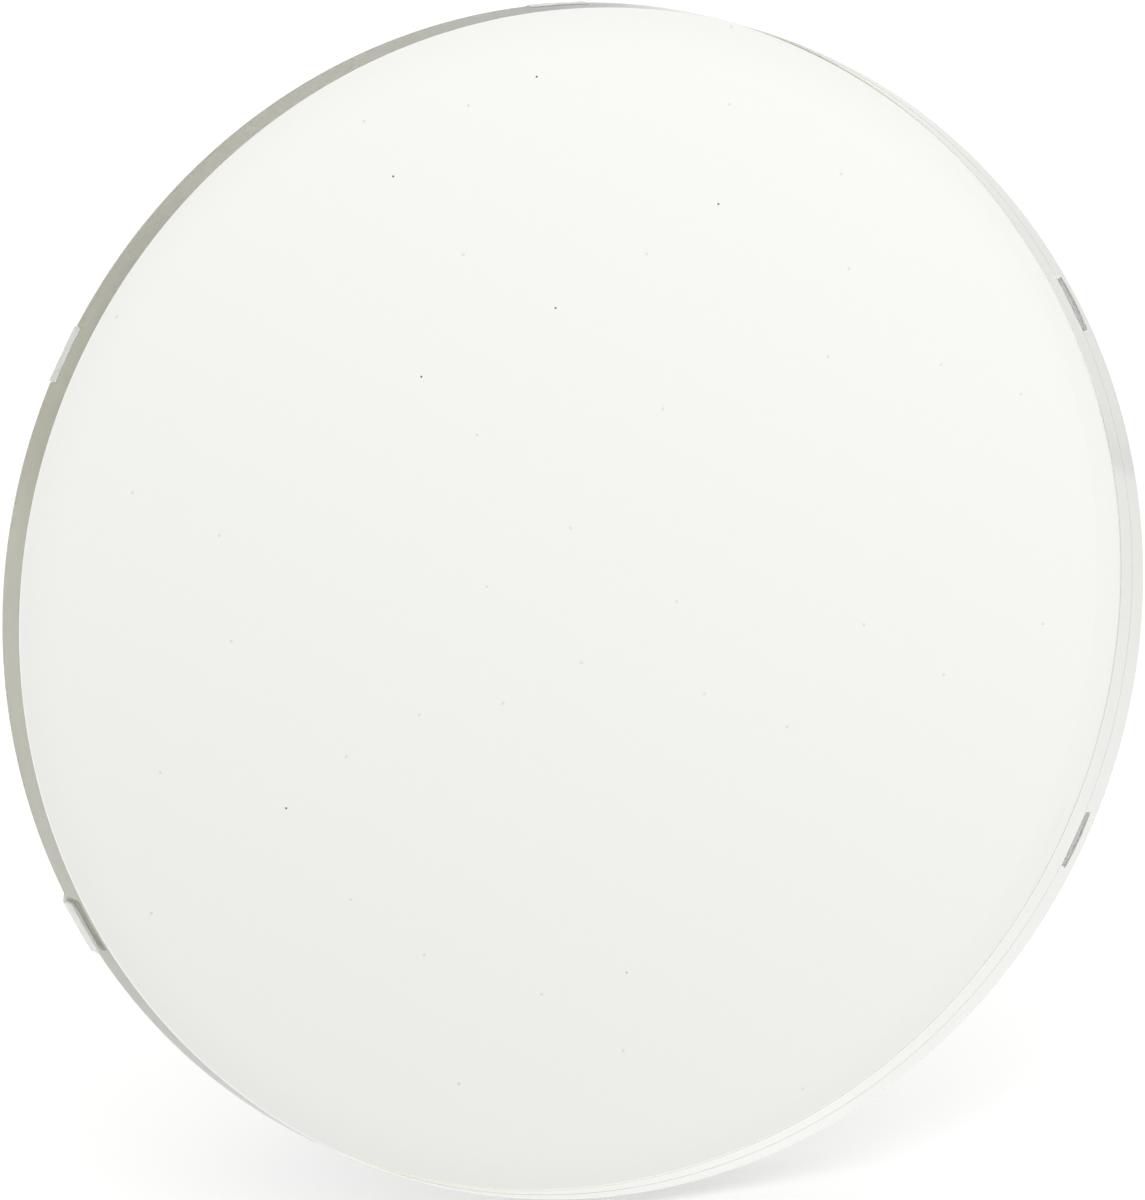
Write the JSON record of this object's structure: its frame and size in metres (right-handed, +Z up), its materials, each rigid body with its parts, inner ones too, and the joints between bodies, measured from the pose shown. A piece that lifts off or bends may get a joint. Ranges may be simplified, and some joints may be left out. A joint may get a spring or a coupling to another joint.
{
  "type": "countertop mirror",
  "caption": "Round frameless countertop mirror: a thick clear slab silvered on its back, clear edge clips, and a folding easel strut with a rubber foot.",
  "frame": {"origin": "on the counter, under the middle of the part's box with the strut open", "axes": "the mirror faces -Y and leans back towards +Y, +X to its right as seen from the front, +Z up"},
  "size_m": [0.3, 0.1032, 0.2968],
  "materials": {
    "clear_slab": "polished clear slab, faint warm grey in its edge",
    "silver_coat": "silver reflecting coat, grey paint on its back",
    "foam": "black closed-cell bonding foam",
    "backing_metal": "satin anodised sheet",
    "clear_plastic": "clear moulded plastic",
    "brushed_metal": "brushed stainless sheet",
    "screw_metal": "bright machined screws",
    "pin_metal": "turned steel",
    "nylon": "natural nylon",
    "foot_rubber": "matte black moulded rubber"
  },
  "bodies": {
    "mirror": {"mirror_glass": "clear_slab", "mirror_silvering": "silver_coat", "bonding_foam": "foam", "backing_plate": "backing_metal", "hinge_bracket": "brushed_metal", "hinge_pin": "pin_metal", "pin_retaining_ring": "pin_metal", "hinge_washer_left": "nylon", "hinge_washer_right": "nylon", "edge_clip_1": "clear_plastic", "edge_clip_2": "clear_plastic", "edge_clip_3": "clear_plastic", "edge_clip_4": "clear_plastic", "edge_clip_5": "clear_plastic", "edge_clip_6": "clear_plastic", "clip_screw_1": "screw_metal", "clip_screw_2": "screw_metal", "clip_screw_3": "screw_metal", "clip_screw_4": "screw_metal", "clip_screw_5": "screw_metal", "clip_screw_6": "screw_metal", "bracket_screw_1": "screw_metal", "bracket_screw_2": "screw_metal", "bracket_screw_3": "screw_metal", "bracket_screw_4": "screw_metal"},
    "strut": {"strut": "brushed_metal", "strut_foot": "foot_rubber"}
  },
  "joints": [
    {"name": "strut_fold", "type": "hinge", "parent": "mirror", "child": "strut", "pos_m": [0, 0.01632, 0.19347], "axis": [-1, 0, 0], "range_deg": [0, 21]}
  ]
}
